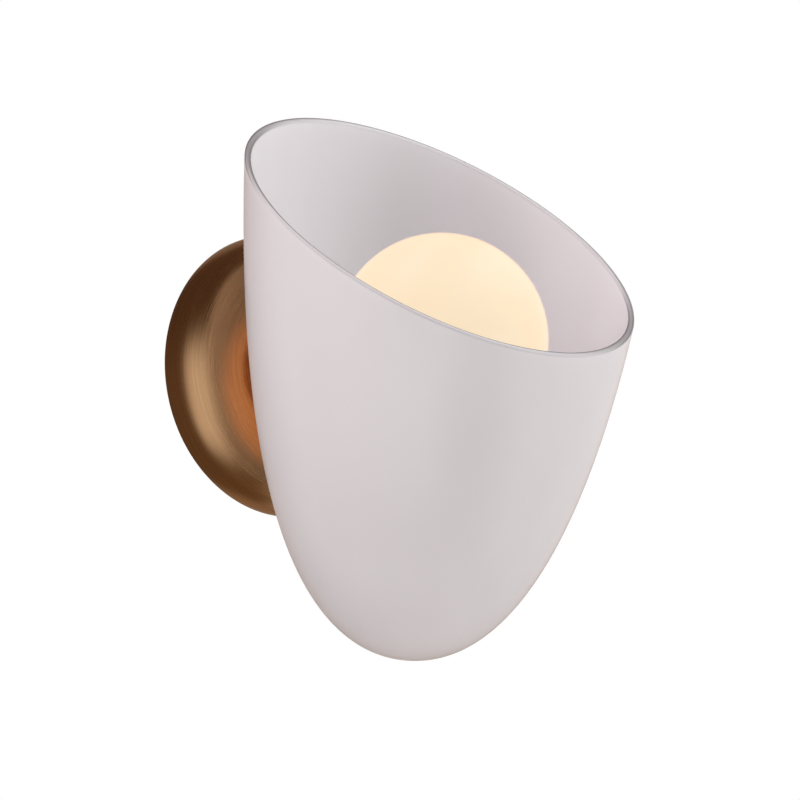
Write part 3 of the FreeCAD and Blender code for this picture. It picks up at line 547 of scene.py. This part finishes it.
def placeCamera():
    # the target point falls on its pixel, and the picture stays level;
    # lens = pixels per mm * distance * sensor / picture width
    back = awayTo(view["azimuth"], view["elevation"])
    a = math.radians(view["azimuth"])
    right = Vector((math.cos(a), math.sin(a), 0))
    up = back.cross(right)
    half = view["image"] / 2
    shiftX = (view["targetPixel"][0] - half) / view["pixelsPerMm"]
    shiftY = (half - view["targetPixel"][1]) / view["pixelsPerMm"]
    place = Vector(view["target"]) - right * shiftX - up * shiftY + back * view["distance"]
    data = bpy.data.cameras.new("camera")
    data.sensor_width = view["sensor"]
    data.lens = view["pixelsPerMm"] * view["distance"] / view["image"] * view["sensor"]
    data.clip_start, data.clip_end = 0.1, 100
    camera = bpy.data.objects.new("camera", data)
    bpy.context.scene.collection.objects.link(camera)
    turn = Matrix((right, up, back)).transposed().to_4x4()
    camera.matrix_world = Matrix.Translation(place * mm) @ turn
    bpy.context.scene.camera = camera


placeCamera()

aim = Vector((0, -0.09, 0))     # the middle of the object

studioLights = {      # azimuth, elevation, metres away, (width, height) in metres, watts, colour
    "rightSoftbox": (52, 8, 1.6, (0.9, 1.6), 4.7, "#f6fbff"),
    "highRightSoftbox": (50, 45, 1.8, (1.2, 1.2), 22.5, "#f4fbff"),
    "highLeftSoftbox": (-108, 45, 1.8, (1.2, 1.2), 24, "#fff8fb"),
    "lowSoftbox": (-45, -36, 2.0, (1.4, 1.2), 18.5, "#fbfcff"),
}

for lightName, (turned, raised, distance, size, watts, tone) in studioLights.items():
    lightData = bpy.data.lights.new(lightName, "AREA")
    lightData.shape = "RECTANGLE"
    lightData.size, lightData.size_y = size
    lightData.energy = watts
    lightData.color = colour(tone)[:3]
    light = bpy.data.objects.new(lightName, lightData)
    bpy.context.scene.collection.objects.link(light)
    light.location = aim + awayTo(turned, raised) * distance
    light.rotation_mode = "QUATERNION"
    light.rotation_quaternion = awayTo(turned, raised).to_track_quat("Z", "Y")
    light.visible_camera = light.visible_glossy = False
print("camera and lights ready")

room = {              # the studio as the brass and the glass reflect it, in linear light
    "radius": 1.1, "rows": 25, "columns": 48,
    "floor": (0.15, (0.20, 0.13, 0.08, 1)),       # place on the way from nadir to zenith, light
    "walls": (0.5, (0.19, 0.12, 0.08, 1)),
    "ceiling": (0.8, (0.12, 0.07, 0.045, 1)),
    "panels": {       # azimuth, half width, elevation, half height, feather, brightness
        "window": (-45, 11, -16, 20, 28, (0.97, 1.05, 1.17)),
        "rightWall": (75, 30, 0, 50, 30, (0.55, 0.55, 0.55)),
        "behind": (143, 28, 0, 60, 16, (0.20, 0.16, 0.13)),
    },
}


def softStep(m, value, middle, half, feather):
    # 1 within half of the middle, falling to 0 over the feather; angles in degrees
    away = addNode(m, "ShaderNodeMath", {"operation": "SUBTRACT"},
                   {0: value, 1: middle}).outputs["Value"]
    wrapped = addNode(m, "ShaderNodeMath", {"operation": "WRAP"},
                      {0: away, 1: 180.0, 2: -180.0}).outputs["Value"]
    reach = addNode(m, "ShaderNodeMath", {"operation": "ABSOLUTE"},
                    {0: wrapped}).outputs["Value"]
    return addNode(m, "ShaderNodeMapRange", {"interpolation_type": "SMOOTHSTEP"}, {
        "Value": reach, "From Min": half, "From Max": half + feather,
        "To Min": 1.0, "To Max": 0.0}).outputs["Result"]


def roomLight():
    # warm dim room by height, plus each panel's light times its two soft steps;
    # azimuth = arctangent of x / -y and elevation = arcsine of z, on the unit sphere
    m = newMaterial("studio room")
    place = addNode(m, "ShaderNodeTexCoord").outputs["Object"]
    unit = addNode(m, "ShaderNodeVectorMath", {"operation": "NORMALIZE"},
                   {0: place}).outputs["Vector"]
    split = addNode(m, "ShaderNodeSeparateXYZ", None, {"Vector": unit}).outputs
    out = addNode(m, "ShaderNodeMath", {"operation": "MULTIPLY"},
                  {0: split["Y"], 1: -1.0}).outputs["Value"]
    turn = addNode(m, "ShaderNodeMath", {"operation": "ARCTAN2"},
                   {0: split["X"], 1: out}).outputs["Value"]
    rise = addNode(m, "ShaderNodeMath", {"operation": "ARCSINE"},
                   {0: split["Z"]}).outputs["Value"]
    azimuth = addNode(m, "ShaderNodeMath", {"operation": "DEGREES"}, {0: turn}).outputs["Value"]
    elevation = addNode(m, "ShaderNodeMath", {"operation": "DEGREES"},
                        {0: rise}).outputs["Value"]
    height = addNode(m, "ShaderNodeMapRange", None,
                     {"Value": split["Z"], "From Min": -1.0}).outputs["Result"]
    level = addNode(m, "ShaderNodeValToRGB", None, {"Fac": height},
                    [room["floor"], room["walls"], room["ceiling"]]).outputs["Color"]
    for middle, half, centre, halfHeight, feather, brightness in room["panels"].values():
        panel = addNode(m, "ShaderNodeMath", {"operation": "MULTIPLY"}, {
            0: softStep(m, azimuth, middle, half, feather),
            1: softStep(m, elevation, centre, halfHeight, feather)}).outputs["Value"]
        level = addNode(m, "ShaderNodeVectorMath", {"operation": "MULTIPLY_ADD"},
                        {0: panel, 1: brightness, 2: level}).outputs["Vector"]
    shine = addNode(m, "ShaderNodeEmission", None, {"Color": level})
    return finishMaterial(m, shine.outputs["Emission"])


def reflectionRoom():
    # sphere round the object, its points radius * (sin a cos e, -cos a cos e, sin e);
    # only reflections see it
    turns = np.linspace(0, tau, room["columns"], endpoint=False)
    rises = np.radians(np.linspace(-90, 90, room["rows"]))[:, None]
    points = np.stack([np.sin(turns) * np.cos(rises), -np.cos(turns) * np.cos(rises),
                       np.sin(rises) + 0 * turns], -1) * room["radius"]
    faces = gridFaces(room["rows"], room["columns"], False).tolist()
    shell = capPoles(makeMesh("reflectionRoom", points, faces))
    shell.data.materials.append(roomLight())
    shell.visible_camera = shell.visible_diffuse = False
    shell.visible_transmission = shell.visible_shadow = False


reflectionRoom()

floor = {             # height of the paper and half its width in metres
    "height": -1.3, "half": 12.0, "pale": "#ece9e6", "dark": "#e6e3e0", "fibresPerMetre": 40.0,
    "shown": 0.7,     # share of plain white to the camera, as a lit backdrop has
}


def backdropRays(m):
    # 1 for the rays that look at the backdrop: from the camera, a reflection or through glass
    rays = addNode(m, "ShaderNodeLightPath").outputs
    either = addNode(m, "ShaderNodeMath", {"operation": "MAXIMUM"},
                     {0: rays["Is Camera Ray"], 1: rays["Is Glossy Ray"]}).outputs["Value"]
    return addNode(m, "ShaderNodeMath", {"operation": "MAXIMUM"},
                   {0: either, 1: rays["Is Transmission Ray"]}).outputs["Value"]


def floorPaper():
    # matt white background paper: pale, evenly lit, and bright to the camera as the backdrop is
    m = newMaterial("matt background paper")
    place = addNode(m, "ShaderNodeTexCoord").outputs["Object"]
    fibre = addNode(m, "ShaderNodeTexNoise", None, {
        "Vector": place, "Scale": floor["fibresPerMetre"], "Detail": 3.0}).outputs["Fac"]
    tint = addNode(m, "ShaderNodeValToRGB", None, {"Fac": fibre},
                   twoTones(floor["dark"], floor["pale"])).outputs["Color"]
    matt = addNode(m, "ShaderNodeBsdfDiffuse", None, {"Color": tint}).outputs["BSDF"]
    lit = addNode(m, "ShaderNodeEmission", None, {"Color": grey(1.0)}).outputs["Emission"]
    shown = addNode(m, "ShaderNodeMath", {"operation": "MULTIPLY"},
                    {0: backdropRays(m), 1: floor["shown"]}).outputs["Value"]
    mixed = addNode(m, "ShaderNodeMixShader", None, {"Fac": shown, 1: matt, 2: lit})
    return finishMaterial(m, mixed.outputs["Shader"])


corners = np.array([[-1, -1, 0], [1, -1, 0], [1, 1, 0], [-1, 1, 0]])
floorPiece = makeMesh("floorPaper", corners * floor["half"] + [0, 0, floor["height"]],
                      [(0, 1, 2, 3)])
floorPiece.data.materials.append(floorPaper())

fillLight = {         # even light from the room, and less from where the wall is
    "room": 0.61, "wallSide": 0.06,
    "roomTo": -0.2, "wallFrom": 0.6,
}


def studioWorld():
    # white to the rays that look at the backdrop, and the fill light to all others, from room
    # down to wallSide as y of the direction goes from roomTo to wallFrom
    world = bpy.data.worlds.new("studio")
    bpy.context.scene.world = world
    world.use_nodes = True
    world.node_tree.nodes.clear()
    look = addNode(world, "ShaderNodeTexCoord").outputs["Generated"]
    look = addNode(world, "ShaderNodeSeparateXYZ", None, {"Vector": look}).outputs["Y"]
    fill = addNode(world, "ShaderNodeMapRange", {"interpolation_type": "SMOOTHSTEP"}, {
        "Value": look, "From Min": fillLight["roomTo"], "From Max": fillLight["wallFrom"],
        "To Min": fillLight["room"], "To Max": fillLight["wallSide"]}).outputs["Result"]
    studio = addNode(world, "ShaderNodeBackground", None, {"Color": grey(1.0), "Strength": fill})
    white = addNode(world, "ShaderNodeBackground", None, {"Color": grey(1.0), "Strength": 1.0})
    mixed = addNode(world, "ShaderNodeMixShader", None, {
        "Fac": backdropRays(world), 1: studio.outputs["Background"],
        2: white.outputs["Background"]})
    addNode(world, "ShaderNodeOutputWorld", None, {"Surface": mixed.outputs["Shader"]})


studioWorld()
bpy.context.scene.view_settings.view_transform = "Standard"
print("room, paper and world ready")

print("scene ready")
